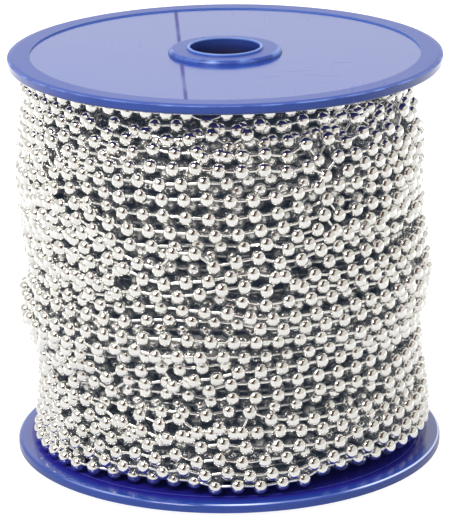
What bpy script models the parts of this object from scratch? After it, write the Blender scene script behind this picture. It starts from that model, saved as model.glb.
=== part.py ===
"""A reel wound full of ball chain.

The reel is two plastic mouldings that plug together inside the barrel. The chain is small hollow
balls, each held to the next by a short link, and it is wound on the barrel between the flanges.

Metres, +Z up. The origin is on the reel's axis, in the plane of the lower hub face.
"""

import math

import bmesh
import bpy
from mathutils import Vector

MM = 0.001
CLEARANCE = 0.3 * MM

# Chain
BALL_DIAMETER = 4.2 * MM
BALL_PITCH = 6.0 * MM

# Winding, measured to the chain's centre line in the outermost turns
TURN_PITCH = 4.0 * MM
WINDING_DIAMETER = 107.6 * MM
TURN_SWAY = 0.7 * MM
# Where turns have piled up or run short: height and spread as shares of the winding's length, how
# much higher the place lies on the +X side, the radius gained there, and how much more on that side.
HEAPS = (
    (0.27, 0.09, 0.18, -3.2 * MM, 0.0 * MM),
    (0.40, 0.03, 0.08, 3.0 * MM, 0.0 * MM),
    (0.70, 0.00, 0.10, -0.2 * MM, -1.7 * MM),
    (1.00, -0.03, 0.14, -3.1 * MM, -2.7 * MM),
)

# Reel flanges
RIM_TO_RIM = 110.5 * MM
FLANGE_DIAMETER = 118.0 * MM
FLANGE_WALL = 2.3 * MM
RIM_BAND_WIDTH = 6.0 * MM
RIM_BAND_STEP = 0.4 * MM
RIM_CHAMFER_WIDTH = 1.4 * MM
RIM_CHAMFER_FALL = 0.35 * MM
RIM_EASE = 0.4 * MM

# Reel hub
BORE_DIAMETER = 18.9 * MM
LIP_WALL = 0.9 * MM
LIP_HEIGHT = 0.6 * MM
COLLAR_DIAMETER = 30.8 * MM
COLLAR_HEIGHT = 1.3 * MM
BORE_TUBE_WALL = 1.6 * MM
BARREL_DIAMETER = 66.0 * MM
BARREL_WALL = 2.4 * MM
SPIGOT_WALL = 1.1 * MM
SPIGOT_LENGTH = 6.0 * MM

REEL_SEGMENTS = 36
SHARP_ANGLE = math.radians(65)

# Heights that follow from the sizes above, measured from a half's own hub face
FACE_HEIGHT = LIP_HEIGHT + COLLAR_HEIGHT
BAND_HEIGHT = FACE_HEIGHT - RIM_BAND_STEP
RIM_HEIGHT = BAND_HEIGHT + RIM_CHAMFER_FALL
INNER_FACE_HEIGHT = FACE_HEIGHT + FLANGE_WALL
REEL_HEIGHT = RIM_TO_RIM + 2 * RIM_HEIGHT
JOINT_HEIGHT = (REEL_HEIGHT - CLEARANCE) / 2


def clear_scene():
    for obj in list(bpy.data.objects):
        bpy.data.objects.remove(obj, do_unlink=True)


def new_collection(name):
    collection = bpy.data.collections.new(name)
    bpy.context.scene.collection.children.link(collection)
    return collection


def finish_material(name, colour, roughness, metallic):
    material = bpy.data.materials.new(name)
    material.use_nodes = True
    shader = material.node_tree.nodes["Principled BSDF"]
    shader.inputs["Base Color"].default_value = (*colour, 1.0)
    shader.inputs["Roughness"].default_value = roughness
    shader.inputs["Metallic"].default_value = metallic
    return material


def half_section(socket):
    """Outline of one reel half in radius and height above its own hub face, inner edge first.

    The barrel of the half with the socket ends in a recess, and the other half's in a spigot.
    """
    bore = BORE_DIAMETER / 2
    lip = bore + LIP_WALL
    collar = COLLAR_DIAMETER / 2
    rim = FLANGE_DIAMETER / 2
    barrel = BARREL_DIAMETER / 2
    barrel_inside = barrel - BARREL_WALL
    tube = bore + BORE_TUBE_WALL
    hub = [(bore, 0), (lip, 0), (lip, LIP_HEIGHT), (collar, LIP_HEIGHT), (collar, FACE_HEIGHT)]
    flange = [
        (rim - RIM_BAND_WIDTH, FACE_HEIGHT),
        (rim - RIM_BAND_WIDTH, BAND_HEIGHT),
        (rim - RIM_CHAMFER_WIDTH, BAND_HEIGHT),
        (rim, RIM_HEIGHT),
        (rim, INNER_FACE_HEIGHT - RIM_EASE),
        (rim - RIM_EASE, INNER_FACE_HEIGHT),
        (barrel, INNER_FACE_HEIGHT),
    ]
    spigot = barrel_inside + SPIGOT_WALL
    if socket:
        recess = spigot + CLEARANCE
        floor = JOINT_HEIGHT - SPIGOT_LENGTH
        barrel_end = [
            (barrel, JOINT_HEIGHT),
            (recess, JOINT_HEIGHT),
            (recess, floor),
            (barrel_inside, floor),
        ]
    else:
        tip = JOINT_HEIGHT + SPIGOT_LENGTH
        barrel_end = [
            (barrel, JOINT_HEIGHT),
            (spigot, JOINT_HEIGHT),
            (spigot, tip),
            (barrel_inside, tip),
        ]
    inside = [
        (barrel_inside, INNER_FACE_HEIGHT),
        (tube, INNER_FACE_HEIGHT),
        (tube, JOINT_HEIGHT),
        (bore, JOINT_HEIGHT),
    ]
    return hub + flange + barrel_end + inside


def turned(name, section, segments, collection):
    """A closed outline in the XZ plane, turned about Z."""
    mesh = bpy.data.meshes.new(name)
    count = len(section)
    points = [(radius, 0, height) for radius, height in section]
    mesh.from_pydata(points, [(i, (i + 1) % count) for i in range(count)], [])
    obj = bpy.data.objects.new(name, mesh)
    collection.objects.link(obj)
    screw = obj.modifiers.new("Turned", "SCREW")
    screw.steps = segments
    screw.render_steps = segments
    screw.use_merge_vertices = True
    screw.merge_threshold = 0.00001
    screw.use_normal_calculate = True
    depsgraph = bpy.context.evaluated_depsgraph_get()
    obj.data = bpy.data.meshes.new_from_object(obj.evaluated_get(depsgraph))
    obj.modifiers.clear()
    obj.data.name = name
    obj.data.shade_smooth()
    obj.data.set_sharp_from_angle(angle=SHARP_ANGLE)
    bpy.data.meshes.remove(mesh)
    return obj


def heap_rise(angle, share):
    """Radius that the piled or missing turns add to the plain winding at this place."""
    toward_x = math.cos(angle)
    return sum(
        (rise + aside * toward_x) * math.exp(-(((share - height - lean * toward_x) / spread) ** 2))
        for height, lean, spread, rise, aside in HEAPS
    )


def sway(angle, share):
    """How far a turn strays up or down, fading to nothing against the flanges."""
    wander = math.sin(angle + 5 * share) + 0.5 * math.sin(3 * angle - 11 * share)
    return TURN_SWAY * wander * math.sin(math.pi * share)


def wound_chain(collection, cutters, material):
    """The wound chain as one solid, whose skin is the links' centre line with each ball raised on it.

    Round each turn the faces take turns to be a ball and a link, and the balls of one turn lie
    beside the links of the next.
    """
    bottom = INNER_FACE_HEIGHT + CLEARANCE
    length = REEL_HEIGHT - 2 * bottom
    turns = max(2, round(length / TURN_PITCH))
    radius = WINDING_DIAMETER / 2
    balls = max(8, round(2 * math.pi * radius / BALL_PITCH))
    bm = bmesh.new()
    bmesh.ops.create_cone(
        bm, cap_ends=True, segments=2 * balls, radius1=radius, radius2=radius, depth=length
    )
    for turn in range(1, turns):
        cut = Vector((0, 0, length * (turn / turns - 0.5)))
        whole = list(bm.verts) + list(bm.edges) + list(bm.faces)
        bmesh.ops.bisect_plane(bm, geom=whole, plane_co=cut, plane_no=(0, 0, 1), dist=1e-7)
    cells = []
    for face in bm.faces:
        if len(face.verts) > 4:
            continue
        centre = face.calc_center_median()
        turn = int((centre.z / length + 0.5) * turns)
        place = round(math.atan2(centre.y, centre.x) / math.pi * balls - 0.5)
        if (turn + place) % 2 == 0:
            cells.append(face)
    for vert in bm.verts:
        angle = math.atan2(vert.co.y, vert.co.x)
        share = vert.co.z / length + 0.5
        reach = radius + heap_rise(angle, share)
        vert.co.x = reach * math.cos(angle)
        vert.co.y = reach * math.sin(angle)
        vert.co.z += sway(angle, share)
    bmesh.ops.poke(bm, faces=cells, offset=BALL_DIAMETER / 2)
    mesh = bpy.data.meshes.new("wound_ball_chain")
    bm.to_mesh(mesh)
    bm.free()
    mesh.shade_smooth()
    mesh.set_sharp_from_angle(angle=SHARP_ANGLE)
    obj = bpy.data.objects.new("wound_ball_chain", mesh)
    obj.location.z = REEL_HEIGHT / 2
    obj.data.materials.append(material)
    collection.objects.link(obj)

    bm = bmesh.new()
    # The barrel space is faceted like the barrel, so its corners lie outside the clear radius.
    corner = (BARREL_DIAMETER / 2 + CLEARANCE) / math.cos(math.pi / REEL_SEGMENTS)
    bmesh.ops.create_cone(
        bm, cap_ends=True, segments=REEL_SEGMENTS, radius1=corner, radius2=corner, depth=REEL_HEIGHT
    )
    mesh = bpy.data.meshes.new("barrel_space")
    bm.to_mesh(mesh)
    bm.free()
    space = bpy.data.objects.new("barrel_space", mesh)
    space.location.z = REEL_HEIGHT / 2
    space.hide_render = True
    space.display_type = "WIRE"
    cutters.objects.link(space)
    cored = obj.modifiers.new("Barrel space", "BOOLEAN")
    cored.operation = "DIFFERENCE"
    cored.solver = "EXACT"
    cored.object = space
    return obj


def main():
    clear_scene()
    parts = new_collection("ball_chain_reel")
    cutters = new_collection("cutters")
    blue_plastic = finish_material("blue_plastic", (0.03, 0.05, 0.34), 0.22, 0.0)
    plated_steel = finish_material("plated_steel", (0.84, 0.83, 0.80), 0.12, 1.0)

    lower = turned("lower_reel_half", half_section(socket=True), REEL_SEGMENTS, parts)
    upper = turned("upper_reel_half", half_section(socket=False), REEL_SEGMENTS, parts)
    upper.rotation_euler.x = math.pi
    upper.location.z = REEL_HEIGHT
    for half in (lower, upper):
        half.data.materials.append(blue_plastic)
    wound_chain(parts, cutters, plated_steel)


main()
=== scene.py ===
# %% [markdown]
# # A reel wound full of ball chain
#
# This notebook dresses a reel of bright ball chain. The frame below holds the reel's two plastic
# halves and the winding as plain solids, at their real size. Each cell makes one piece or one
# finish, says what it is on the real product, and why it is made the way it is.

# %% Load the frame
import math

import bmesh
import bpy
import numpy as np
from mathutils import Matrix, Vector
from mathutils.kdtree import KDTree


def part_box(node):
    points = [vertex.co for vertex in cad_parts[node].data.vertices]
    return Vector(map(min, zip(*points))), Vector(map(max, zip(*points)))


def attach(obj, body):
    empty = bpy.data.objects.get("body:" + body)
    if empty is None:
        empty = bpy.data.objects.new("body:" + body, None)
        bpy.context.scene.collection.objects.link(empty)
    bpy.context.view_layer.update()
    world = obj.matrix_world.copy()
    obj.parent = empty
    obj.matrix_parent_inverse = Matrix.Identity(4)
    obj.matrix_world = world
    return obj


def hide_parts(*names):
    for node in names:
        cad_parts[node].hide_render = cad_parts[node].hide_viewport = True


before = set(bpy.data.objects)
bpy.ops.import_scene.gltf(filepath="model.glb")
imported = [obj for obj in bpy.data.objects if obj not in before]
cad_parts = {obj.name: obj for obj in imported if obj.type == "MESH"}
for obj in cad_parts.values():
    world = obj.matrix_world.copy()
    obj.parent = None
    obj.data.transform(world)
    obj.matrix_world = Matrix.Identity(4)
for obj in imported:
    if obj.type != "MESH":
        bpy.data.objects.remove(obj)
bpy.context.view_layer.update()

print("frame nodes:", sorted(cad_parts))

# %% [markdown]
# ## Measures taken from the frame
#
# The overall sizes are read off the solids, so that each dressed piece lands where its solid is.
# The sizes that a bounding box can't give, such as the width of the rim band, are named here.

# %% Sizes
MM = 0.001
LOWER_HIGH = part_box("lower_reel_half")[1]
UPPER_LOW, UPPER_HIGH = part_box("upper_reel_half")
CHAIN_LOW, CHAIN_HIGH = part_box("wound_ball_chain")

REEL_HEIGHT = UPPER_HIGH.z
FLANGE_RADIUS = UPPER_HIGH.x
BORE_RADIUS = 9.45 * MM
LIP_WALL = 0.9 * MM
LIP_HEIGHT = 0.6 * MM
LIP_ROUNDING = 0.35 * MM
COLLAR_RADIUS = 15.4 * MM
COLLAR_HEIGHT = 1.3 * MM
COLLAR_ROUNDING = 1.1 * MM
FLANGE_WALL = 2.3 * MM
RIM_BAND_WIDTH = 6.0 * MM
RIM_BAND_STEP = 0.4 * MM
RIM_CHAMFER_WIDTH = 1.4 * MM
RIM_CHAMFER_FALL = 0.35 * MM
RIM_EASE = 0.9 * MM
BORE_TUBE_WALL = 1.6 * MM
BARREL_RADIUS = 33.0 * MM
BARREL_WALL = 2.4 * MM
SPIGOT_WALL = 1.1 * MM
CLEARANCE = 0.3 * MM
FACE_HEIGHT = LIP_HEIGHT + COLLAR_HEIGHT
BAND_HEIGHT = FACE_HEIGHT - RIM_BAND_STEP
RIM_HEIGHT = BAND_HEIGHT + RIM_CHAMFER_FALL
INNER_FACE_HEIGHT = FACE_HEIGHT + FLANGE_WALL
FACE_EDGE = FLANGE_RADIUS - RIM_BAND_WIDTH
SPIGOT_TIP = REEL_HEIGHT - UPPER_LOW.z
BARREL_END = LOWER_HIGH.z
RECESS_FLOOR = UPPER_LOW.z - CLEARANCE

BALL_RADIUS = 2.1 * MM
BALL_PITCH = 6.0 * MM
LINK_RADIUS = 0.51 * MM
print("reel, mm: height", round(REEL_HEIGHT / MM, 2), "radius", round(FLANGE_RADIUS / MM, 2))

# %% [markdown]
# ## Small helpers
#
# An operator works on everything that is selected, and loading the frame leaves its solids
# selected. So each new piece starts from an empty selection, and ends with its place baked into
# its mesh, with the object itself at the origin.


# %% Helpers
def deselect_all():
    if bpy.context.object and bpy.context.object.mode != "OBJECT":
        bpy.ops.object.mode_set(mode="OBJECT")
    bpy.ops.object.select_all(action="DESELECT")


def start_editing(name):
    """Name the new active object and open it in edit mode with everything selected."""
    piece = bpy.context.object
    piece.name = name
    piece.data.name = name
    bpy.ops.object.mode_set(mode="EDIT")
    bpy.ops.mesh.select_all(action="SELECT")
    return piece


def finish_piece(piece, material, slot, *nodes):
    """Bake the place into the mesh, give the finish, and hang the piece on the frame."""
    deselect_all()
    piece.select_set(True)
    bpy.context.view_layer.objects.active = piece
    bpy.ops.object.transform_apply(location=True, rotation=True, scale=True)
    piece.data.materials.clear()
    piece.data.materials.append(material)
    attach(piece, "root")
    if nodes:
        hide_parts(*nodes)
    print(piece.name, "faces:", len(piece.data.polygons))
    return piece


def apply_modifier(piece, kind, **settings):
    deselect_all()
    piece.select_set(True)
    bpy.context.view_layer.objects.active = piece
    modifier = piece.modifiers.new(kind.title(), kind)
    for key, value in settings.items():
        setattr(modifier, key, value)
    bpy.ops.object.modifier_apply(modifier=modifier.name)


# %% [markdown]
# ## Wear that the materials share
#
# Moulded plastic that has been handled carries fine scratches and a faint cloudiness. Both are
# needed on every blue surface, so they are one node group with inputs for how much of each. It
# gives out a mask for roughness and a height for bump.


# %% Shared effects
def add_node(tree, kind, **settings):
    node = tree.nodes.new(kind)
    for key, value in settings.items():
        setattr(node, key, value)
    return node


def math_node(tree, operation, first, second=0.0):
    node = add_node(tree, "ShaderNodeMath", operation=operation)
    for socket, value in zip(node.inputs, (first, second)):
        if isinstance(value, (int, float)):
            socket.default_value = value
        else:
            tree.links.new(value, socket)
    return node.outputs[0]


def product(tree, *values):
    result = values[0]
    for value in values[1:]:
        result = math_node(tree, "MULTIPLY", result, value)
    return result


def map_range(tree, value, low, high, to_low=0.0, to_high=1.0):
    node = add_node(tree, "ShaderNodeMapRange", clamp=True)
    tree.links.new(value, node.inputs["Value"])
    names = ("From Min", "From Max", "To Min", "To Max")
    for name, number in zip(names, (low, high, to_low, to_high)):
        node.inputs[name].default_value = number
    return node.outputs["Result"]


def mix_colours(tree, factor, first, second):
    node = add_node(tree, "ShaderNodeMix", data_type="RGBA")
    sockets = (node.inputs[0], node.inputs[6], node.inputs[7])
    for socket, value in zip(sockets, (factor, first, second)):
        if isinstance(value, bpy.types.NodeSocket):
            tree.links.new(value, socket)
        else:
            socket.default_value = value
    return node.outputs[2]


def noise(tree, vector, scale, detail=2.0, stretch=(1, 1, 1)):
    mapping = add_node(tree, "ShaderNodeMapping")
    mapping.inputs["Scale"].default_value = stretch
    tree.links.new(vector, mapping.inputs["Vector"])
    texture = add_node(tree, "ShaderNodeTexNoise")
    texture.inputs["Scale"].default_value = scale
    texture.inputs["Detail"].default_value = detail
    tree.links.new(mapping.outputs[0], texture.inputs["Vector"])
    return texture.outputs["Fac"]


def build_handling_wear():
    group = bpy.data.node_groups.new("handling_wear", "ShaderNodeTree")
    face = group.interface
    face.new_socket("Vector", in_out="INPUT", socket_type="NodeSocketVector")
    face.new_socket("Scratches", in_out="INPUT", socket_type="NodeSocketFloat")
    face.new_socket("Cloud", in_out="INPUT", socket_type="NodeSocketFloat")
    face.new_socket("Mask", in_out="OUTPUT", socket_type="NodeSocketFloat")
    face.new_socket("Height", in_out="OUTPUT", socket_type="NodeSocketFloat")
    entry = add_node(group, "NodeGroupInput")
    leave = add_node(group, "NodeGroupOutput")
    place = entry.outputs["Vector"]
    along = noise(group, place, 60, 4, stretch=(0.7, 14, 1))
    across = noise(group, place, 60, 4, stretch=(11, 0.6, 1))
    fine = math_node(group, "MAXIMUM", along, across)
    lines = product(group, map_range(group, fine, 0.66, 0.74), entry.outputs["Scratches"])
    cloud = map_range(group, noise(group, place, 35, 3), 0.4, 0.7)
    cloud = product(group, cloud, entry.outputs["Cloud"])
    group.links.new(math_node(group, "ADD", lines, cloud), leave.inputs["Mask"])
    group.links.new(lines, leave.inputs["Height"])
    return group


HANDLING_WEAR = build_handling_wear()


def wear_in(tree, vector, scratches, cloud):
    """Place the shared wear in a material, and return its mask and its height."""
    node = add_node(tree, "ShaderNodeGroup", node_tree=HANDLING_WEAR)
    tree.links.new(vector, node.inputs["Vector"])
    node.inputs["Scratches"].default_value = scratches
    node.inputs["Cloud"].default_value = cloud
    return node.outputs["Mask"], node.outputs["Height"]


print("shared effects:", HANDLING_WEAR.name)

# %% [markdown]
# ## Blue moulded plastic
#
# The reel is one deep blue. What makes its parts look different is gloss: the flat face comes off
# a polished mould and mirrors the pale room, while the rim band is duller and looks a shade
# darker. The radius of a point, worked out from Object coordinates, says which of the two it is.
# The inner faces look at the dark winding, and get painted shade: a darker blue, and a second
# plastic that mirrors little.


# %% Plastic finish
def start_material(name):
    material = bpy.data.materials.new(name)
    material.use_nodes = True
    tree = material.node_tree
    shader = tree.nodes["Principled BSDF"]
    place = add_node(tree, "ShaderNodeTexCoord").outputs["Object"]
    return material, tree, shader, place


def add_bump(tree, shader, height, strength, distance):
    bump = add_node(tree, "ShaderNodeBump")
    bump.inputs["Strength"].default_value = strength
    bump.inputs["Distance"].default_value = distance
    tree.links.new(height, bump.inputs["Height"])
    tree.links.new(bump.outputs[0], shader.inputs["Normal"])


BLUE = (0.012, 0.045, 0.270, 1)
BLUE_WORN = (0.030, 0.068, 0.320, 1)
# Paler edges: a painted highlight, with wear from rubbing in patches.
EDGE_BLUE = (0.105, 0.195, 0.520, 1)
FLOW_LINE = (0.022, 0.012, 0.190, 1)
BORE_SHADE = (0.006, 0.003, 0.030, 1)
# Painted shade on the inner faces, where they look at the winding.
WINDING_SHADE_BLUE = (0.016, 0.012, 0.200, 1)
# A painted highlight on the rounded inner edge of the rim.
EASE_HIGHLIGHT = (0.60, 0.68, 0.95, 1)
# Roughness of the polished face, what a dull mould and a cloudy patch add, and the flow line's.
POLISHED = 0.17
DULLER = 0.19
CLOUDY = 0.12
MATT = 0.60
# The mould's flow line passes this far from the axis on the -X side, and leans a little.
FLOW_LINE_ASIDE = 12.06 * MM
FLOW_LINE_LEAN = 0.038
MARK_STRENGTH = 0.6
# The radius beyond which a flange's inner face lies clear of the winding and mirrors the tent.
OPEN_FROM = 55.3 * MM
# Scratches on the upper face: middle, turn in degrees, length, half width.
MARKS = (
    ((19 * MM, -22 * MM, REEL_HEIGHT - FACE_HEIGHT), 12, 9 * MM, 0.22 * MM),
    ((25 * MM, -27 * MM, REEL_HEIGHT - FACE_HEIGHT), -8, 12 * MM, 0.18 * MM),
    ((12 * MM, -28 * MM, REEL_HEIGHT - FACE_HEIGHT), 20, 7 * MM, 0.20 * MM),
    ((31 * MM, -13 * MM, REEL_HEIGHT - FACE_HEIGHT), 5, 5 * MM, 0.30 * MM),
)


def inside(tree, value, low, high, soft):
    """A mask that is one between two values of a number, with soft ends."""
    rise = map_range(tree, value, low - soft, low + soft)
    fall = map_range(tree, value, high + soft, high - soft)
    return math_node(tree, "MINIMUM", rise, fall)


def mark(tree, place, middle, turn, length, half_width):
    """A scratch on a level face."""
    mapping = add_node(tree, "ShaderNodeMapping", vector_type="TEXTURE")
    mapping.inputs["Location"].default_value = middle
    mapping.inputs["Rotation"].default_value = (0, 0, math.radians(turn))
    tree.links.new(place, mapping.inputs["Vector"])
    apart = add_node(tree, "ShaderNodeSeparateXYZ")
    tree.links.new(mapping.outputs[0], apart.inputs[0])
    along, across, above = (math_node(tree, "ABSOLUTE", axis) for axis in apart.outputs)
    ends = map_range(tree, along, length / 2, length / 3)
    line = math_node(tree, "MINIMUM", ends, map_range(tree, across, half_width, 0))
    return product(tree, line, map_range(tree, above, 1.2 * MM, 1.0 * MM))


def worn_and_highlit_edges(tree, place, radius, depth):
    """Where the rim, the collar, the lip and the step of the rim band are paler.

    A painted highlight along the edges, broken into patches of wear from rubbing on rim and collar.
    """
    rim = product(
        tree,
        inside(tree, radius, FLANGE_RADIUS - 0.45 * MM, FLANGE_RADIUS, 0.1 * MM),
        inside(tree, depth, 0, RIM_HEIGHT + 0.2 * MM, 0.1 * MM),
    )
    collar = product(
        tree,
        inside(tree, radius, COLLAR_RADIUS - COLLAR_ROUNDING, COLLAR_RADIUS, 0.2 * MM),
        inside(tree, depth, 0, FACE_HEIGHT - 0.2 * MM, 0.1 * MM),
    )
    worn_and_lit = math_node(tree, "MAXIMUM", rim, collar)
    worn_and_lit = product(tree, worn_and_lit, map_range(tree, noise(tree, place, 160, 3), 0.42, 0.62))
    lip = product(
        tree,
        map_range(tree, depth, LIP_HEIGHT, 0.1 * MM),
        map_range(tree, radius, 11 * MM, 10.5 * MM),
    )
    edges = math_node(tree, "MAXIMUM", worn_and_lit, lip)
    step = inside(tree, radius, FACE_EDGE - 0.15 * MM, FACE_EDGE + 0.05 * MM, 0.05 * MM)
    return math_node(tree, "MAXIMUM", edges, product(tree, step, 0.6))


def face_lines(tree, place, x, y, z, radius):
    """The mould's flow line across the upper face, and the scratches beside the hub."""
    leaning = math_node(tree, "ADD", x, product(tree, y, FLOW_LINE_LEAN))
    aside = math_node(tree, "ABSOLUTE", math_node(tree, "ADD", leaning, FLOW_LINE_ASIDE))
    line = product(
        tree,
        map_range(tree, aside, 0.75 * MM, 0.2 * MM),
        map_range(tree, radius, 15.5 * MM, 16 * MM),
        map_range(tree, radius, FACE_EDGE + 0.1 * MM, FACE_EDGE - 0.4 * MM),
        map_range(tree, noise(tree, place, 60), 0.3, 0.55, 0.35, 0.8),
        map_range(tree, z, REEL_HEIGHT / 2, REEL_HEIGHT),
    )
    for values in MARKS:
        scratch = product(tree, mark(tree, place, *values), MARK_STRENGTH)
        line = math_node(tree, "MAXIMUM", line, scratch)
    return line


def painted_winding_shade(tree, radius, depth, z):
    """The inner faces: all of the upper one, and the lower one as far out as the winding.

    They get a darker blue there, as painted shade of the winding.
    """
    inner = inside(tree, depth, INNER_FACE_HEIGHT - 0.08 * MM, REEL_HEIGHT, 0.04 * MM)
    covered = map_range(tree, radius, FLANGE_RADIUS - 1.0 * MM, OPEN_FROM - 1.0 * MM)
    upper = map_range(tree, z, 0.4 * REEL_HEIGHT, 0.6 * REEL_HEIGHT)
    return product(tree, inner, math_node(tree, "MAXIMUM", covered, upper))


def painted_ease_highlight(tree, place, radius, depth):
    """A painted highlight, broken into patches, along the rounded inner edge of the rim."""
    return product(
        tree,
        inside(tree, radius, FLANGE_RADIUS - 0.65 * MM, FLANGE_RADIUS - 0.25 * MM, 0.10 * MM),
        map_range(tree, depth, INNER_FACE_HEIGHT - RIM_EASE, INNER_FACE_HEIGHT - 0.2 * MM),
        map_range(tree, noise(tree, place, 28, 1), 0.40, 0.58),
    )


def plastic_roughness(tree, radius, depth, worn, matt):
    band = map_range(tree, radius, FACE_EDGE - 0.2 * MM, FACE_EDGE)
    collar = inside(tree, radius, 0, COLLAR_RADIUS + 0.1 * MM, 0.1 * MM)
    dull = math_node(tree, "MAXIMUM", band, collar)
    wall = inside(tree, depth, RIM_HEIGHT + 0.15 * MM, REEL_HEIGHT, 0.1 * MM)
    rough = product(tree, math_node(tree, "SUBTRACT", dull, wall), DULLER)
    rough = math_node(tree, "MAXIMUM", rough, 0)
    rough = math_node(tree, "ADD", rough, product(tree, worn, CLOUDY))
    return math_node(tree, "ADD", rough, map_range(tree, matt, 0, 1, POLISHED, MATT))


def make_blue_plastic(name, gloss):
    """The reel's plastic. Gloss is how much it mirrors, as a constant."""
    material, tree, shader, place = start_material(name)
    shader.inputs["Specular IOR Level"].default_value = gloss
    shader.inputs["IOR"].default_value = 1.52
    apart = add_node(tree, "ShaderNodeSeparateXYZ")
    tree.links.new(place, apart.inputs[0])
    x, y, z = apart.outputs
    squares = math_node(tree, "ADD", product(tree, x, x), product(tree, y, y))
    radius = math_node(tree, "SQRT", squares)
    depth = math_node(tree, "MINIMUM", z, math_node(tree, "SUBTRACT", REEL_HEIGHT, z))
    worn, height = wear_in(tree, place, 0.5, 0.25)
    line = face_lines(tree, place, x, y, z, radius)
    in_bore = map_range(tree, radius, BORE_RADIUS + 0.3 * MM, BORE_RADIUS + 0.1 * MM)
    shade = product(tree, in_bore, map_range(tree, depth, 0.4 * MM, 4.5 * MM, 0.15, 1))

    colour = BLUE
    for mask, tint in (
        (worn, BLUE_WORN),
        (painted_winding_shade(tree, radius, depth, z), WINDING_SHADE_BLUE),
        (painted_ease_highlight(tree, place, radius, depth), EASE_HIGHLIGHT),
        (worn_and_highlit_edges(tree, place, radius, depth), EDGE_BLUE),
        (line, FLOW_LINE),
        (shade, BORE_SHADE),
    ):
        colour = mix_colours(tree, mask, colour, tint)
    tree.links.new(colour, shader.inputs["Base Color"])
    matt = math_node(tree, "MAXIMUM", line, shade)
    rough = plastic_roughness(tree, radius, depth, worn, matt)
    tree.links.new(rough, shader.inputs["Roughness"])
    add_bump(tree, shader, height, 0.15, 0.03 * MM)
    return material


blue_plastic = make_blue_plastic("blue_moulded_plastic", 0.5)
# A copy that mirrors little, as painted shade on the inner faces.
shaded_plastic = make_blue_plastic("shaded_blue_plastic", 0.12)
print("made", blue_plastic.name, "and", shaded_plastic.name)

# %% [markdown]
# ## The reel's halves
#
# Each half is one moulding: flange, hub collar, bore tube and half of the barrel. Its outline is
# drawn point by point from a single vertex, as it would be by hand with the extrude tool, and then
# spun round the axis like a pot on a wheel. A narrow bevel breaks the edges, which is what catches
# the light on the real rim.

# %% Outline of a half
SPIN_STEPS = 144
ARC_STEPS = 4


def rounded(before, corner, after, radius):
    """Points of the arc that rounds a corner of an outline."""
    corner = Vector(corner)
    back = (Vector(before) - corner).normalized() * radius
    onward = (Vector(after) - corner).normalized() * radius
    points = []
    for step in range(ARC_STEPS + 1):
        angle = math.pi / 2 * step / ARC_STEPS
        points.append(tuple(corner + back * (1 - math.sin(angle)) + onward * (1 - math.cos(angle))))
    return points


def half_outline(socket):
    """Radius and height above the half's own hub face, from the bore outwards and back inside."""
    lip = BORE_RADIUS + LIP_WALL
    collar_foot = (COLLAR_RADIUS, FACE_HEIGHT)
    rim = (FLANGE_RADIUS, RIM_HEIGHT)
    barrel_foot = (BARREL_RADIUS, INNER_FACE_HEIGHT)
    barrel_inside = BARREL_RADIUS - BARREL_WALL
    spigot = barrel_inside + SPIGOT_WALL
    tube = BORE_RADIUS + BORE_TUBE_WALL
    outline = rounded((BORE_RADIUS, BARREL_END), (BORE_RADIUS, 0), (lip, 0), LIP_ROUNDING)
    outline += rounded((BORE_RADIUS, 0), (lip, 0), (lip, LIP_HEIGHT), LIP_ROUNDING)
    outline += [(lip, LIP_HEIGHT)]
    outline += rounded((lip, LIP_HEIGHT), (COLLAR_RADIUS, LIP_HEIGHT), collar_foot, COLLAR_ROUNDING)
    outline += [collar_foot, (FACE_EDGE, FACE_HEIGHT), (FACE_EDGE, BAND_HEIGHT)]
    outline += [(FLANGE_RADIUS - RIM_CHAMFER_WIDTH, BAND_HEIGHT), rim]
    outline += rounded(rim, (FLANGE_RADIUS, INNER_FACE_HEIGHT), barrel_foot, RIM_EASE)
    outline += [(OPEN_FROM, INNER_FACE_HEIGHT), barrel_foot, (BARREL_RADIUS, BARREL_END)]
    if socket:
        recess = spigot + CLEARANCE
        outline += [(recess, BARREL_END), (recess, RECESS_FLOOR), (barrel_inside, RECESS_FLOOR)]
    else:
        outline += [(spigot, BARREL_END), (spigot, SPIGOT_TIP), (barrel_inside, SPIGOT_TIP)]
    outline += [(barrel_inside, INNER_FACE_HEIGHT), (tube, INNER_FACE_HEIGHT)]
    outline += [(tube, BARREL_END), (BORE_RADIUS, BARREL_END)]
    return outline


def spin_outline(name, outline, steps):
    """Draw a closed outline from one vertex and spin it round Z."""
    deselect_all()
    bpy.ops.mesh.primitive_plane_add(size=MM)
    piece = start_editing(name)
    bpy.ops.mesh.merge(type="CENTER")
    first = (outline[0][0], 0, outline[0][1])
    bpy.ops.transform.translate(value=first)
    for (radius, height), (next_radius, next_height) in zip(outline, outline[1:]):
        step = (next_radius - radius, 0, next_height - height)
        bpy.ops.mesh.extrude_vertices_move(TRANSFORM_OT_translate={"value": step})
    mesh = bmesh.from_edit_mesh(piece.data)
    for vertex in mesh.verts:
        vertex.select = len(vertex.link_edges) < 2
    mesh.select_flush(True)
    bmesh.update_edit_mesh(piece.data)
    bpy.ops.mesh.edge_face_add()
    bpy.ops.mesh.select_all(action="SELECT")
    bpy.ops.mesh.spin(steps=steps, angle=2 * math.pi, center=(0, 0, 0), axis=(0, 0, 1))
    bpy.ops.mesh.select_all(action="SELECT")
    bpy.ops.mesh.remove_doubles(threshold=0.01 * MM)
    bpy.ops.mesh.normals_make_consistent(inside=False)
    bpy.ops.object.mode_set(mode="OBJECT")
    return piece


# %% Spin both halves
EDGE_BREAK = 0.16 * MM
# Edges sharper than this angle, in radians, get the bevel.
EDGE_BREAK_ANGLE = 0.22
SMOOTH_BELOW = math.radians(35)


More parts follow.
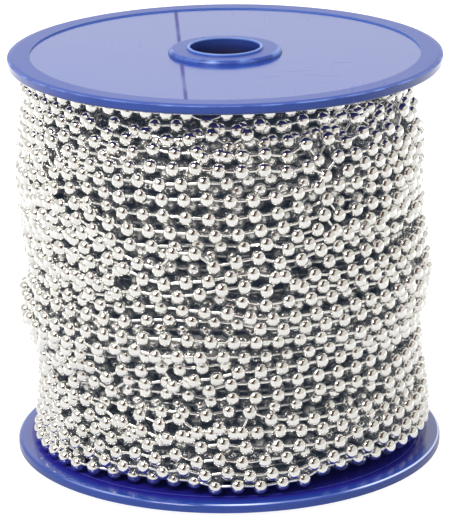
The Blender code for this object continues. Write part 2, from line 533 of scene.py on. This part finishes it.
def shade_inner_faces(piece):
    """Give the second plastic to the part of the inner face that looks at the winding.

    It is a shaded copy of the plastic that mirrors little, as painted shade.
    """
    piece.data.materials.append(shaded_plastic)
    for polygon in piece.data.polygons:
        radius = polygon.center.xy.length
        depth = min(polygon.center.z, REEL_HEIGHT - polygon.center.z)
        shaded_to = OPEN_FROM if polygon.center.z < REEL_HEIGHT / 2 else FLANGE_RADIUS - RIM_EASE
        if depth > INNER_FACE_HEIGHT - 0.05 * MM and BARREL_RADIUS < radius < shaded_to:
            polygon.material_index = 1


def make_half(name, socket, node):
    piece = spin_outline(name, half_outline(socket), SPIN_STEPS)
    apply_modifier(
        piece,
        "BEVEL",
        width=EDGE_BREAK,
        segments=3,
        limit_method="ANGLE",
        angle_limit=EDGE_BREAK_ANGLE,
    )
    if not socket:
        piece.rotation_euler.x = math.pi
        piece.location.z = REEL_HEIGHT
    finish_piece(piece, blue_plastic, "reel_plastic", node)
    bpy.ops.object.shade_smooth_by_angle(angle=SMOOTH_BELOW)
    apply_modifier(piece, "WEIGHTED_NORMAL", keep_sharp=True)
    shade_inner_faces(piece)


make_half("lower_reel_moulding", True, "lower_reel_half")
make_half("upper_reel_moulding", False, "upper_reel_half")

# %% [markdown]
# ## How the chain lies
#
# A ball chain is wound by hand or on a slack winder, so its turns wander, lean and climb over each
# other. Drawing that would never look right. Instead the chain is laid as it is in life: ball after
# ball, each one a fixed pitch from the last, as deep as the balls already there allow, and pulled
# taut, so that it bridges hollows. Three passes up and down the barrel make the turns that show.

# %% Winding values
PASSES = 3
ROW_PITCH = 3.55 * MM
LAYER_HEIGHT = 2.95 * MM
WINDING_RADIUS = 52.3 * MM
LOWEST_BALL = CHAIN_LOW.z + BALL_RADIUS + 0.3 * MM
HIGHEST_BALL = CHAIN_HIGH.z - BALL_RADIUS - 0.1 * MM
BALLS_PER_TURN = round(2 * math.pi * WINDING_RADIUS / BALL_PITCH)
WINDING_SEED = 4
# How far a turn leans once and twice round, and how it wanders: size, and period in turns.
LEANS = (0.9 * MM, 0.6 * MM)
WANDERS = ((0.35 * MM, 0.35), (0.7 * MM, 1.3))
STRAYS_PER_PASS = 4
# Where turns pile up or run short: height and spread as shares of the winding, how much higher the
# place lies on the +X side, the radius gained there, and how much more on that side.
HEAPS = (
    (0.27, 0.09, 0.18, -3.2 * MM, 0.0 * MM),
    (0.40, 0.03, 0.08, 3.0 * MM, 0.0 * MM),
    (0.70, 0.00, 0.10, -0.2 * MM, -1.7 * MM),
    (1.00, -0.03, 0.14, -3.1 * MM, -2.7 * MM),
)
# Where the chain was last drawn off, on the -Y side under the upper flange: middle and spread as
# shares of the winding, and the radius gained there.
DRAWN_OFF = (0.97, 0.085, -4.0 * MM)


def outer_radius(angle, height):
    """Radius of the outermost balls' centres over the winding."""
    share = (height - CHAIN_LOW.z) / (CHAIN_HIGH.z - CHAIN_LOW.z)
    radius = np.full_like(height, WINDING_RADIUS)
    toward_x = np.cos(angle)
    for middle, lean, spread, rise, aside in HEAPS:
        near = np.exp(-(((share - middle - lean * toward_x) / spread) ** 2))
        radius += (rise + aside * toward_x) * near
    middle, spread, rise = DRAWN_OFF
    in_front = np.maximum(0, -np.sin(angle))
    radius += rise * in_front * np.exp(-(((share - middle) / spread) ** 4))
    return radius


def wandering(random, count, period):
    """A smooth series that changes its mind about once a period."""
    knots = random.normal(size=int(count / period) + 3)
    place = np.arange(count) / period
    knot = place.astype(int)
    blend = place - knot
    blend = blend * blend * (3 - 2 * blend)
    return knots[knot] * (1 - blend) + knots[knot + 1] * blend


# %% Lay the balls
BALL_TOUCHES_BALL = 1.94 * BALL_RADIUS
BALL_TOUCHES_LINK = BALL_RADIUS + LINK_RADIUS
TAUT_STEPS = 60
TAUT_BOW = 1.05
# A ball slides down to the side that lies deeper: places tried, share and limit of each slide.
SLIDES = 4
PROBE = 0.35 * MM
SLIDE_SHARE = 0.7
MOST_SLIDE = 0.5 * MM
SMOOTHING = np.array((1, 2, 3, 2, 1)) / 9


def resting_radius(angle, height, balls, links):
    """How near the axis a ball can come at each place before it touches what is there."""
    out = outer_radius(angle, height) - PASSES * LAYER_HEIGHT
    for points, reach in ((balls, BALL_TOUCHES_BALL), (links, BALL_TOUCHES_LINK)):
        x, y, z = points.T
        along = np.cos(angle)[:, None] * x + np.sin(angle)[:, None] * y
        beside = x**2 + y**2 - along**2 + (height[:, None] - z) ** 2
        room = reach**2 - beside
        touch = np.where((room > 0) & (along > 0), along + np.sqrt(np.maximum(room, 0)), 0)
        out = np.maximum(out, touch.max(axis=1, initial=0))
    return out


def pull_taut(resting, first):
    """Lift the balls that a straight pull between their neighbours wouldn't let drop."""
    bow = TAUT_BOW * BALL_PITCH**2 / (2 * WINDING_RADIUS)
    radius = resting.copy()
    for _ in range(TAUT_STEPS):
        before = np.concatenate(([first], radius[:-1]))
        after = np.concatenate((radius[1:], radius[-1:]))
        radius = np.maximum(resting, (before + after) / 2 - bow)
    return radius


def nearby(points, height):
    band = 6 * MM
    return points[(points[:, 2] > height.min() - band) & (points[:, 2] < height.max() + band)]


def angles_for(radius, height, start):
    """Angles at which each ball is exactly one pitch from the last."""
    angle, last_radius, last_height = start
    angles = []
    for r, h in zip(radius, height):
        rise = h - last_height
        cosine = (last_radius**2 + r**2 + rise**2 - BALL_PITCH**2) / (2 * last_radius * r)
        angle += math.acos(max(-1.0, min(1.0, cosine)))
        last_radius, last_height = r, h
        angles.append(angle)
    return np.array(angles)


def planned_heights(random, count, upwards):
    share = np.arange(count) / count
    if not upwards:
        share = 1 - share
    heights = LOWEST_BALL + (HIGHEST_BALL - LOWEST_BALL) * share
    turn = 2 * math.pi * np.arange(count) / BALLS_PER_TURN
    phase = random.uniform(0, 2 * math.pi, 2)
    lean = LEANS[0] * np.sin(turn + phase[0] + 6 * share)
    lean += LEANS[1] * np.sin(2 * turn + phase[1] - 9 * share)
    heights += lean * np.minimum(1, 12 * np.minimum(share, 1 - share))
    for size, period in WANDERS:
        heights += size * wandering(random, count, period * BALLS_PER_TURN)
    for _ in range(STRAYS_PER_PASS):
        middle = random.integers(BALLS_PER_TURN, count - BALLS_PER_TURN)
        spread = random.uniform(0.12, 0.3) * BALLS_PER_TURN
        jump = random.choice((-1, 1)) * random.uniform(2.0, 3.5) * MM
        heights += jump * np.exp(-(((np.arange(count) - middle) / spread) ** 2))
    return np.clip(heights, LOWEST_BALL, HIGHEST_BALL)


def lay_chain():
    """Ball centres of each pass, in the order that the chain runs."""
    random = np.random.default_rng(WINDING_SEED)
    count = int((HIGHEST_BALL - LOWEST_BALL) / ROW_PITCH) * BALLS_PER_TURN
    balls = np.zeros((0, 3))
    links = np.zeros((0, 3))
    start = (0.0, WINDING_RADIUS - PASSES * LAYER_HEIGHT, LOWEST_BALL)
    passes = []
    for number in range(PASSES):
        planned = planned_heights(random, count, upwards=number % 2 == 0)
        laid = []
        for first in range(0, count, BALLS_PER_TURN):
            height = planned[first : first + BALLS_PER_TURN]
            near_balls, near_links = nearby(balls, height), nearby(links, height)
            angle = start[0] + BALL_PITCH / WINDING_RADIUS * np.arange(1, len(height) + 1)
            for _ in range(SLIDES):
                above = resting_radius(angle, height + PROBE, near_balls, near_links)
                below = resting_radius(angle, height - PROBE, near_balls, near_links)
                slide = np.clip(SLIDE_SHARE * (below - above), -MOST_SLIDE, MOST_SLIDE)
                slide = np.convolve(np.pad(slide, 2, mode="edge"), SMOOTHING, "valid")
                height = np.clip(height + slide, LOWEST_BALL, HIGHEST_BALL)
                resting = resting_radius(angle, height, near_balls, near_links)
                radius = pull_taut(resting, start[1])
                angle = angles_for(radius, height, start)
            turn = np.stack((radius * np.cos(angle), radius * np.sin(angle), height), axis=1)
            run = np.concatenate((laid[-1][-1:] if laid else turn[:1], turn))
            middles = [run[:-1] * (1 - share) + run[1:] * share for share in (0.4, 0.6)]
            balls = np.concatenate((balls, turn))
            links = np.concatenate((links, *middles))
            start = (angle[-1], radius[-1], height[-1])
            laid.append(turn)
        passes.append(np.concatenate(laid))
    return passes


passes = lay_chain()
print("balls laid:", sum(len(one) for one in passes))

# %% [markdown]
# ## Letting the turns settle
#
# Laying turn by turn leaves balls pressed into their neighbours. A short relaxation eases that:
# pairs that start near each other are pushed apart step by step where they overlap, each ball is
# pulled back toward one pitch from the next, and none may leave the space between the flanges. It
# isn't a cure. Pairs that only meet on the way aren't in its list, so several hundred pairs still
# run into each other. The last lines count them over all the balls, and not over that list.

# %% Settle
SETTLE_STEPS = 80
SETTLE_SHARE = 0.3
SETTLE_REACH = 2.9 * BALL_RADIUS


def tree_of(points):
    tree = KDTree(len(points))
    for index, point in enumerate(points):
        tree.insert(point, index)
    tree.balance()
    return tree


def settle(passes):
    points = np.concatenate(passes)
    tree = tree_of(points)
    pairs = []
    for index, point in enumerate(points):
        for _, other, _ in tree.find_range(point, SETTLE_REACH):
            if other > index:
                pairs.append((index, other))
    first, second = np.array(pairs).T
    ends = np.cumsum([len(one) for one in passes])[:-1]
    joined = np.ones(len(points) - 1, bool)
    joined[ends - 1] = False
    link = np.nonzero(joined)[0]
    most = outer_radius(np.arctan2(points[:, 1], points[:, 0]), points[:, 2]) + BALL_RADIUS
    for _ in range(SETTLE_STEPS):
        gap = points[second] - points[first]
        length = np.linalg.norm(gap, axis=1)
        missing = np.maximum(0, 2 * BALL_RADIUS - length)
        push = missing[:, None] * gap / length[:, None] * SETTLE_SHARE
        np.add.at(points, first, -push)
        np.add.at(points, second, push)
        gap = points[link + 1] - points[link]
        length = np.linalg.norm(gap, axis=1)
        pull = (length - BALL_PITCH)[:, None] * gap / length[:, None] * SETTLE_SHARE
        np.add.at(points, link, pull)
        np.add.at(points, link + 1, -pull)
        points[:, 2] = np.clip(points[:, 2], LOWEST_BALL, HIGHEST_BALL)
        radius = np.hypot(points[:, 0], points[:, 1])
        points[:, :2] *= np.minimum(1, most / radius)[:, None]
    return np.split(points, ends)


def overlaps(points):
    """How far each pair of balls runs into each other, over every pair that does."""
    tree = tree_of(points)
    apart = []
    for index, point in enumerate(points):
        near = tree.find_range(point, 2 * BALL_RADIUS)
        apart += [length for _, other, length in near if other > index]
    return 2 * BALL_RADIUS - np.array(apart)


passes = settle(passes)
overlap = overlaps(np.concatenate(passes))
print("pairs of balls that overlap:", len(overlap), "most, mm:", round(overlap.max() / MM, 2))
print("by over 0.1 mm:", (overlap > 0.1 * MM).sum(), "by over 0.3 mm:", (overlap > 0.3 * MM).sum())

# %% [markdown]
# ## Bright plated steel
#
# The balls are polished and plated, so nearly all that is seen on them is the room: white walls,
# the blue flange above, and each other. The metal itself is a faintly warm white. A little uneven
# roughness keeps the mirror from looking computed. Each ball also carries how deep it lies, for a
# painted shade between the turns, which darkens the deeper balls and makes them less metallic.


# %% Chain finish
# Painted shade on balls deep in the winding, growing between these two depths.
DEEP_SHADE = (0.110, 0.118, 0.120, 1)
UNSHADED_DEPTH = 2.4 * MM
FULL_SHADE_DEPTH = 6.0 * MM
# A faint painted glow, for the little light that trickles in between the turns.
PAINTED_GLOW = (0.007, 0.010, 0.016, 1)


def make_plating(name, colour, dark, roughness):
    material, tree, shader, place = start_material(name)
    patches = map_range(tree, noise(tree, place, 120, 3), 0.35, 0.75)
    plating = mix_colours(tree, patches, colour, dark)
    depth = add_node(tree, "ShaderNodeAttribute", attribute_name="depth").outputs["Fac"]
    deep_shade = map_range(tree, depth, UNSHADED_DEPTH, FULL_SHADE_DEPTH)
    tree.links.new(mix_colours(tree, deep_shade, plating, DEEP_SHADE), shader.inputs["Base Color"])
    tree.links.new(map_range(tree, deep_shade, 0, 1, 1.0, 0.45), shader.inputs["Metallic"])
    shader.inputs["Emission Color"].default_value = PAINTED_GLOW
    shader.inputs["Emission Strength"].default_value = 1.0
    film = map_range(tree, noise(tree, place, 420, 2), 0.3, 0.8, roughness, roughness + 0.10)
    tree.links.new(film, shader.inputs["Roughness"])
    add_bump(tree, shader, noise(tree, place, 900, 2), 0.10, 0.05 * MM)
    return material


PLATING = (0.90, 0.885, 0.85, 1)
PLATING_DARK = (0.80, 0.785, 0.74, 1)
bright_plating = make_plating("bright_plating", PLATING, PLATING_DARK, 0.05)
print("made", bright_plating.name)

# %% [markdown]
# ## Ball and link
#
# One ball and one link are modelled, with 54 faces and six, because the winding repeats them
# thousands of times. The ball is a cube blown up to a sphere, which spends its faces evenly. The
# copies are placed by code, since nobody would drag nearly five thousand of them by hand.


# %% The unit
def make_ball():
    deselect_all()
    bpy.ops.mesh.primitive_cube_add(size=2 * BALL_RADIUS)
    ball = start_editing("ball")
    bpy.ops.mesh.subdivide(number_cuts=2)
    bpy.ops.transform.tosphere(value=1)
    corners = np.array([vertex.co for vertex in bmesh.from_edit_mesh(ball.data).verts])
    grow = BALL_RADIUS / np.linalg.norm(corners, axis=1).mean()
    bpy.ops.transform.resize(value=(grow, grow, grow))
    bpy.ops.object.mode_set(mode="OBJECT")
    return ball


def make_link():
    """A link from inside one ball to inside the next, which hide its open ends."""
    deselect_all()
    length = BALL_PITCH - BALL_RADIUS
    bpy.ops.mesh.primitive_cylinder_add(
        vertices=6, radius=LINK_RADIUS, depth=length, end_fill_type="NOTHING"
    )
    link = start_editing("link")
    bpy.ops.transform.rotate(value=math.pi / 2, orient_axis="Y", center_override=(0, 0, 0))
    bpy.ops.transform.translate(value=(BALL_PITCH / 2, 0, 0))
    bpy.ops.object.mode_set(mode="OBJECT")
    return link


ball_unit, link_unit = make_ball(), make_link()


# %% Copy the unit along a pass
NEIGHBOURHOOD = 7 * MM


def mesh_arrays(piece):
    vertices = np.array([vertex.co for vertex in piece.data.vertices])
    faces = [list(polygon.vertices) for polygon in piece.data.polygons]
    return vertices, faces


def directions(points):
    """Unit vectors along the chain, sideways and outwards at each point."""
    along = np.gradient(points, axis=0)
    along /= np.linalg.norm(along, axis=1)[:, None]
    outwards = points * (1, 1, 0)
    outwards -= (outwards * along).sum(axis=1)[:, None] * along
    outwards /= np.linalg.norm(outwards, axis=1)[:, None]
    return np.stack((along, np.cross(outwards, along), outwards), axis=1)


def local_surface(points, around):
    """Radius of the winding's surface at each ball, from the balls that stand out most near it."""
    radius = np.hypot(around[:, 0], around[:, 1])
    tree = tree_of(around)
    near = [[index for _, index, _ in tree.find_range(point, NEIGHBOURHOOD)] for point in points]
    return np.array([np.percentile(radius[indices], 80) for indices in near]) + BALL_RADIUS


def string_copies(name, points, around):
    """One mesh that holds a ball at each point and a link from each ball to the next.

    A pass isn't joined to the next one, so two links are missing, one at each flange.
    """
    turns = directions(points)
    ahead = np.diff(points, axis=0)
    reach = np.linalg.norm(ahead, axis=1)
    link_turns = turns[:-1].copy()
    link_turns[:, 0] = ahead / reach[:, None]
    surface = local_surface(points, around)
    vertices, faces, depths = [], [], []
    start = 0
    for unit, frames, places in ((ball_unit, turns, points), (link_unit, link_turns, points[:-1])):
        shape, polygons = mesh_arrays(unit)
        placed = np.einsum("vk,nkj->nvj", shape, frames) + places[:, None]
        vertices.append(placed.reshape(-1, 3))
        away = np.hypot(placed[..., 0], placed[..., 1])
        depths.append((surface[: len(places), None] - away).ravel())
        for copy in range(len(places)):
            offset = start + copy * len(shape)
            faces += [[offset + corner for corner in polygon] for polygon in polygons]
        start += len(places) * len(shape)
    mesh = bpy.data.meshes.new(name)
    mesh.from_pydata(np.concatenate(vertices).tolist(), [], faces)
    depth = mesh.attributes.new("depth", "FLOAT", "POINT")
    depth.data.foreach_set("value", np.concatenate(depths))
    mesh.shade_smooth()
    piece = bpy.data.objects.new(name, mesh)
    bpy.context.scene.collection.objects.link(piece)
    return piece


for name, points in zip(("inner_turns", "middle_turns", "outer_turns"), passes):
    piece = string_copies(name, points, np.concatenate(passes))
    finish_piece(piece, bright_plating, "chain_plating", "wound_ball_chain")
for unit in (ball_unit, link_unit):
    bpy.data.objects.remove(unit, do_unlink=True)

# %% [markdown]
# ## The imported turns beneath
#
# Under the turns that show, the barrel is filled by more chain that no light reaches. One turned
# body stands for it, in a dark blue-grey with a pebbled surface and a trace of light of its own,
# for the little that trickles in. About a third of the innermost balls sink into it.


# %% Packed turns
PACKED_BELOW = (PASSES + 0.55) * LAYER_HEIGHT
PACKED_END_GAP = 0.1 * MM
UNLIT = (0.070, 0.088, 0.130, 1)
UNLIT_PALE = (0.120, 0.148, 0.200, 1)


def make_packed_turns():
    low, high = CHAIN_LOW.z + PACKED_END_GAP, CHAIN_HIGH.z - PACKED_END_GAP
    heights = np.linspace(low, high, 24)
    radius = outer_radius(np.zeros_like(heights), heights) - PACKED_BELOW
    inside = BARREL_RADIUS + CLEARANCE
    outline = [(inside, low), *zip(radius, heights), (inside, high)]
    return spin_outline("packed_turns", outline[::-1], 96)


def make_dark_depth():
    material, tree, shader, place = start_material("unlit_turns")
    colour = mix_colours(tree, noise(tree, place, 300), UNLIT, UNLIT_PALE)
    tree.links.new(colour, shader.inputs["Base Color"])
    shader.inputs["Roughness"].default_value = 0.6
    shader.inputs["Emission Color"].default_value = PAINTED_GLOW
    shader.inputs["Emission Strength"].default_value = 1.5
    add_bump(tree, shader, noise(tree, place, 250), 0.8, 0.5 * MM)
    return material


packed_turns = make_packed_turns()
finish_piece(packed_turns, make_dark_depth(), "chain_plating", "wound_ball_chain")
bpy.ops.object.shade_smooth_by_angle(angle=math.radians(40))

# %% [markdown]
# ## Floor, light and camera
#
# The studio is a white tent: an even white world, a white floor, and above the camera the brown
# opening that every ball mirrors as a small dark spot.

# %% Floor
CAMERA_ELEVATION = math.radians(17.08)
FLOOR_SIZE = 4.0
FLOOR_TO_CAMERA = 0.95
FLOOR_IN_MIRRORS = 0.47
FLOOR_BEYOND_IN_MIRRORS = 1.5
FLOOR_GREY = (0.30, 0.30, 0.30, 1)


def make_floor():
    deselect_all()
    bpy.ops.mesh.primitive_plane_add(size=FLOOR_SIZE, location=(0, 0, -0.05 * MM))
    floor = bpy.context.object
    floor.name = "studio_floor"
    material = bpy.data.materials.new("white_floor")
    material.use_nodes = True
    tree = material.node_tree
    shader = tree.nodes["Principled BSDF"]
    shader.inputs["Base Color"].default_value = FLOOR_GREY
    shader.inputs["Roughness"].default_value = 0.9
    shader.inputs["Specular IOR Level"].default_value = 0.0
    shader.inputs["Emission Color"].default_value = (1, 1, 1, 1)
    path = add_node(tree, "ShaderNodeLightPath")
    to_camera = product(tree, path.outputs["Is Camera Ray"], FLOOR_TO_CAMERA)
    apart = add_node(tree, "ShaderNodeSeparateXYZ")
    tree.links.new(add_node(tree, "ShaderNodeTexCoord").outputs["Object"], apart.inputs[0])
    aside = product(tree, math_node(tree, "ABSOLUTE", apart.outputs[0]), 0.6)
    away = math_node(tree, "ADD", apart.outputs[1], aside)
    beyond = map_range(tree, away, 0.05, 0.42, FLOOR_IN_MIRRORS, FLOOR_BEYOND_IN_MIRRORS)
    in_mirrors = product(tree, path.outputs["Is Glossy Ray"], beyond)
    strength = math_node(tree, "ADD", to_camera, in_mirrors)
    tree.links.new(strength, shader.inputs["Emission Strength"])
    floor.data.materials.append(material)


make_floor()

# %% World
SKY_LOW = 0.50
SKY_HIGH = 1.35
TENT = (0.74, 0.735, 0.695, 1)
TENT_ROOF = (0.60, 0.61, 0.54, 1)
OPENING = (0.110, 0.050, 0.030, 1)
BACK_WALL = 1.82


def seen_on_ball(right, up):
    """Direction that the camera sees mirrored at a place on a ball, in shares of its radius."""
    tilt = CAMERA_ELEVATION
    normal = Vector((right, up, math.sqrt(1 - right * right - up * up)))
    ray = 2 * normal.z * normal - Vector((0, 0, 1))
    level = ray.y * math.sin(tilt) - ray.z * math.cos(tilt)
    return Vector((ray.x, level, ray.y * math.cos(tilt) + ray.z * math.sin(tilt)))


def toward(tree, direction, aim):
    node = add_node(tree, "ShaderNodeVectorMath", operation="DOT_PRODUCT")
    tree.links.new(direction, node.inputs[0])
    node.inputs[1].default_value = aim
    return node.outputs["Value"]


def cone(tree, direction, aim, inner, outer):
    """A mask round a direction, full within one angle and gone past the other, in degrees."""
    low, high = (math.cos(math.radians(angle)) for angle in (outer, inner))
    return map_range(tree, toward(tree, direction, aim), low, high)


def make_opening(tree, direction):
    """The dark gap round the camera: an uneven patch above it, and an arm up to the right."""
    ragged = add_node(tree, "ShaderNodeTexNoise")
    ragged.inputs["Scale"].default_value = 3.0
    tree.links.new(direction, ragged.inputs["Vector"])
    shift = add_node(tree, "ShaderNodeVectorMath", operation="MULTIPLY_ADD")
    tree.links.new(ragged.outputs["Color"], shift.inputs[0])
    shift.inputs[1].default_value = (0.5, 0.5, 0.5)
    shift.inputs[2].default_value = (-0.25, -0.25, -0.25)
    bent = add_node(tree, "ShaderNodeVectorMath", operation="ADD")
    tree.links.new(direction, bent.inputs[0])
    tree.links.new(shift.outputs[0], bent.inputs[1])
    bent = bent.outputs[0]
    upper = cone(tree, bent, seen_on_ball(-0.05, 0.30), 26, 32)
    patch = math_node(tree, "MAXIMUM", upper, cone(tree, bent, seen_on_ball(-0.04, 0.02), 22, 29))
    low_end, high_end = seen_on_ball(0.0, 0.30), seen_on_ball(0.50, 0.66)
    across = math_node(tree, "ABSOLUTE", toward(tree, bent, low_end.cross(high_end).normalized()))
    reach = cone(tree, bent, (low_end + high_end).normalized(), 36, 42)
    arm = product(tree, map_range(tree, across, 0.24, 0.14), reach)
    return math_node(tree, "MAXIMUM", patch, arm)


def make_world():
    """White for the camera, a soft sky for light, and the tent with its dark opening in mirrors."""
    world = bpy.data.worlds.new("white_tent")
    world.use_nodes = True
    bpy.context.scene.world = world
    tree = world.node_tree
    tree.nodes.clear()
    direction = add_node(tree, "ShaderNodeTexCoord").outputs["Generated"]
    apart = add_node(tree, "ShaderNodeSeparateXYZ")
    tree.links.new(direction, apart.inputs[0])
    height = apart.outputs[2]
    tent = mix_colours(tree, map_range(tree, height, 0.78, 0.98), TENT, TENT_ROOF)
    tent = mix_colours(tree, make_opening(tree, direction), tent, OPENING)

    path = add_node(tree, "ShaderNodeLightPath")
    tent_strength = map_range(tree, apart.outputs[1], 0.86, 0.95, 1.0, BACK_WALL)
    views = (
        (path.outputs["Is Camera Ray"], (1, 1, 1, 1), 1.0),
        (path.outputs["Is Glossy Ray"], tent, tent_strength),
    )
    sky = add_node(tree, "ShaderNodeBackground")
    tree.links.new(map_range(tree, height, 0.0, 0.8, SKY_LOW, SKY_HIGH), sky.inputs["Strength"])
    sky.inputs["Color"].default_value = (1, 1, 1, 1)
    result = sky.outputs[0]
    for is_ray, colour, strength in reversed(views):
        background = add_node(tree, "ShaderNodeBackground")
        for socket, value in zip(background.inputs, (colour, strength)):
            if isinstance(value, bpy.types.NodeSocket):
                tree.links.new(value, socket)
            else:
                socket.default_value = value
        mix = add_node(tree, "ShaderNodeMixShader")
        tree.links.new(is_ray, mix.inputs[0])
        tree.links.new(result, mix.inputs[1])
        tree.links.new(background.outputs[0], mix.inputs[2])
        result = mix.outputs[0]
    output = add_node(tree, "ShaderNodeOutputWorld")
    tree.links.new(result, output.inputs["Surface"])


make_world()

# %% Lights
LIGHT_DISTANCE = 0.9


def add_softbox(name, azimuth, elevation, size, energy):
    """A square lamp that looks at the reel. Azimuth 0 is the camera's side, and 90 is the right."""
    deselect_all()
    turn, rise = math.radians(azimuth), math.radians(elevation)
    level = math.cos(rise)
    away = Vector((math.sin(turn) * level, -math.cos(turn) * level, math.sin(rise)))
    centre = Vector((0, 0, REEL_HEIGHT / 2))
    bpy.ops.object.light_add(type="AREA", location=centre + away * LIGHT_DISTANCE)
    lamp = bpy.context.object
    lamp.name = name
    lamp.data.size = size
    lamp.data.energy = energy
    lamp.rotation_euler = away.to_track_quat("Z", "Y").to_euler()


add_softbox("key_softbox", -38, 48, 0.35, 6.0)

# %% Camera
CAMERA_DISTANCE = 0.871
CAMERA_ROLL = math.radians(-0.66)
CAMERA_LENS = 218.0
RIM_TO_RIM = REEL_HEIGHT - 2 * RIM_HEIGHT
AIM_ASIDE = -0.80 * MM
AIM_BELOW = 3.67 * MM


def add_camera():
    deselect_all()
    centre = Vector((0, 0, RIM_HEIGHT + RIM_TO_RIM / 2))
    back = Vector((0, -math.cos(CAMERA_ELEVATION), math.sin(CAMERA_ELEVATION)))
    up = Vector((0, math.sin(CAMERA_ELEVATION), math.cos(CAMERA_ELEVATION)))
    place = centre + back * CAMERA_DISTANCE
    aim = centre + Vector((AIM_ASIDE, 0, 0)) - up * AIM_BELOW
    bpy.ops.object.camera_add(location=place)
    camera = bpy.context.object
    camera.name = "photo_camera"
    camera.data.lens = CAMERA_LENS
    facing = (place - aim).to_track_quat("Z", "Y")
    camera.rotation_euler = (facing.to_matrix() @ Matrix.Rotation(CAMERA_ROLL, 3, "Z")).to_euler()
    bpy.context.scene.camera = camera


add_camera()
bpy.context.scene.view_settings.view_transform = "Standard"
